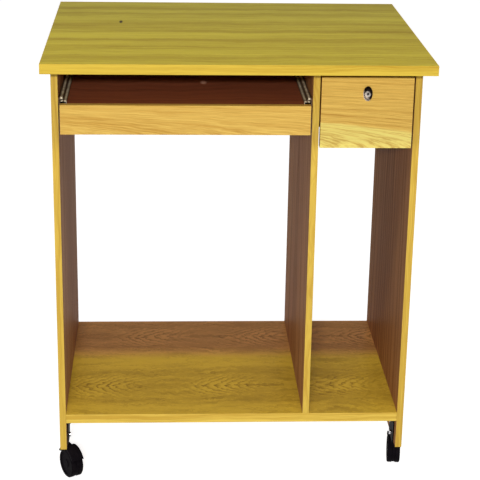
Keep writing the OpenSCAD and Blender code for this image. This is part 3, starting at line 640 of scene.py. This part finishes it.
def keep_strips(piece, upright):
    """Leaves only the upright, or only the level, strips of a merged copy."""
    shape = bmesh.new()
    shape.from_mesh(piece.data)
    waiting = set(shape.verts)
    unwanted = []
    while waiting:
        island = [waiting.pop()]
        for vertex in island:
            for edge in vertex.link_edges:
                other = edge.other_vert(vertex)
                if other in waiting:
                    waiting.discard(other)
                    island.append(other)
        heights = [vertex.co.z for vertex in island]
        if (max(heights) - min(heights) > UPRIGHT_BAND) != upright:
            unwanted += island
    bmesh.ops.delete(shape, geom=unwanted, context="VERTS")
    shape.to_mesh(piece.data)
    shape.free()


for node, look in LOOKS.items():
    if node == "front_edge_bands":
        keep_strips(eased(node, "front_band", "upright_bands"), upright=True)
        keep_strips(eased(node, "level_band", "level_bands"), upright=False)
    elif look in WOODEN and node != "carcass_dowels":
        eased(node, look)
    else:
        piece = frame["nodes"][node]
        piece.data.materials.clear()
        piece.data.materials.append(FINISHES[look])


# Raised rings on the lock, whose plate lies behind the front of its boss
RING_SIDES = 48
RING_ROUNDING = 0.0004
PLATE_BEHIND = 0.0015


def oval_ring(name, look, across, tall, wall, out):
    """Raised oval ring on the lock's plate, out from its face, with an eased top edge."""
    shape = bmesh.new()
    loops = []
    for shrink, height in ((0.0, 0.0), (0.0, out - RING_ROUNDING), (RING_ROUNDING, out),
                           (wall - RING_ROUNDING, out), (wall, out - RING_ROUNDING), (wall, 0.0)):
        made = bmesh.ops.create_circle(shape, segments=RING_SIDES, radius=1.0)["verts"]
        bmesh.ops.rotate(shape, verts=made, matrix=Matrix.Rotation(math.radians(90), 3, "X"))
        bmesh.ops.scale(shape, verts=made, vec=(across / 2.0 - shrink, 1.0, tall / 2.0 - shrink))
        bmesh.ops.translate(shape, verts=made, vec=(0.0, -height, 0.0))
        loops.append([edge for edge in shape.edges if set(edge.verts) <= set(made)])
    for first, second in zip(loops, loops[1:] + loops[:1]):
        bmesh.ops.bridge_loops(shape, edges=first + second)
    plate = Vector(lock_middle) + Vector((0.0, PLATE_BEHIND, 0.0))
    bmesh.ops.translate(shape, verts=shape.verts, vec=plate)
    bmesh.ops.recalc_face_normals(shape, faces=shape.faces)
    piece = add_piece(name, shape, look, "drawer")
    piece.data.shade_smooth()
    piece.data.set_sharp_from_angle(angle=SHARP_ANGLE)


oval_ring("lock_rim", "lock_plate", across=0.0148, tall=0.0238, wall=0.0011, out=0.0010)
oval_ring("lock_inner_ring", "lock_ring", across=0.0096, tall=0.0096, wall=0.0011, out=0.0016)


# White that the camera sees round the desk
WHITE = (1.0, 1.0, 1.0, 1.0)

# Floor: its size, how far it lies below the wheels, its own grey and its glow
FLOOR_SIZE = 30.0
FLOOR_BELOW = 0.0005
FLOOR_GREY = (0.6, 0.6, 0.6, 1.0)
FLOOR_GLOW = 0.86


def floor_finish():
    """Pale floor that the camera sees as white, with the desk's soft shadow on it."""
    material = bpy.data.materials.new("floor_white")
    material.use_nodes = True
    nodes = Nodes(material.node_tree)
    nodes.tree.nodes.clear()
    matt = nodes.add("ShaderNodeBsdfDiffuse", None, Color=FLOOR_GREY).outputs[0]
    strength = nodes.maths("MULTIPLY", nodes.seen(), FLOOR_GLOW)
    glow = nodes.add("ShaderNodeEmission", None, Strength=strength).outputs[0]
    both = nodes.add("ShaderNodeAddShader", None, i0=matt, i1=glow).outputs[0]
    nodes.add("ShaderNodeOutputMaterial", None, Surface=both)
    return material


bpy.ops.mesh.primitive_plane_add(size=FLOOR_SIZE, location=(0.0, 0.0, -FLOOR_BELOW))
floor = bpy.context.object
floor.name = "floor"
floor.data.materials.append(floor_finish())


def world_light(strength, colour):
    """Even light from all round, seen by the camera and in reflections as white."""
    world = bpy.data.worlds.new("studio")
    bpy.context.scene.world = world
    world.use_nodes = True
    nodes = Nodes(world.node_tree)
    light = nodes.tree.nodes["Background"]
    seen = nodes.seen()
    levels = {"To Min": strength, "To Max": 1.0}
    level = nodes.add("ShaderNodeMapRange", None, Value=seen, **levels).outputs["Result"]
    nodes.tree.links.new(level, light.inputs["Strength"])
    nodes.tree.links.new(nodes.mix(seen, colour, WHITE), light.inputs["Color"])


def softbox(name, azimuth, elevation, distance, size, power, colour):
    """Area light aimed at the middle of the desk; azimuth 0 stands in front of it."""
    turn = math.radians(azimuth)
    rise = math.radians(elevation)
    away = Vector((math.sin(turn) * math.cos(rise), -math.cos(turn) * math.cos(rise), math.sin(rise)))
    lamp = bpy.data.lights.new(name, "AREA")
    lamp.shape = "RECTANGLE"
    lamp.size, lamp.size_y = size
    lamp.energy = power
    lamp.color = colour
    holder = bpy.data.objects.new(name, lamp)
    holder.location = Vector(DESK_MIDDLE) + away * distance
    holder.rotation_euler = away.to_track_quat("Z", "Y").to_euler()
    bpy.context.collection.objects.link(holder)


world_light(0.22, (1.0, 0.95, 0.96, 1.0))
softbox("front_softbox", azimuth=-4.5, elevation=19.3, distance=3.6, size=(0.5, 0.12), power=74.0,
        colour=(1.0, 0.95, 0.95))
softbox("top_softbox", azimuth=0.0, elevation=60.0, distance=3.2, size=(1.6, 0.2), power=48.0,
        colour=(0.98, 1.0, 0.8))


def photo_camera():
    """Camera at the photograph's place, turned by yaw, pitch and roll."""
    ahead = Vector((math.sin(CAMERA_YAW) * math.cos(CAMERA_PITCH),
                    math.cos(CAMERA_YAW) * math.cos(CAMERA_PITCH), -math.sin(CAMERA_PITCH)))
    level_right = Vector((math.cos(CAMERA_YAW), -math.sin(CAMERA_YAW), 0.0))
    level_up = level_right.cross(ahead)
    right = level_right * math.cos(CAMERA_ROLL) + level_up * math.sin(CAMERA_ROLL)
    up = level_up * math.cos(CAMERA_ROLL) - level_right * math.sin(CAMERA_ROLL)
    data = bpy.data.cameras.new("photo_camera")
    data.sensor_width = SENSOR_WIDTH
    data.lens = FOCAL_LENGTH
    camera = bpy.data.objects.new("photo_camera", data)
    turn = Matrix((right, up, -ahead)).transposed().to_4x4()
    camera.matrix_world = Matrix.Translation(CAMERA_AT) @ turn
    bpy.context.collection.objects.link(camera)
    bpy.context.scene.camera = camera


photo_camera()
bpy.context.scene.view_settings.view_transform = "Standard"
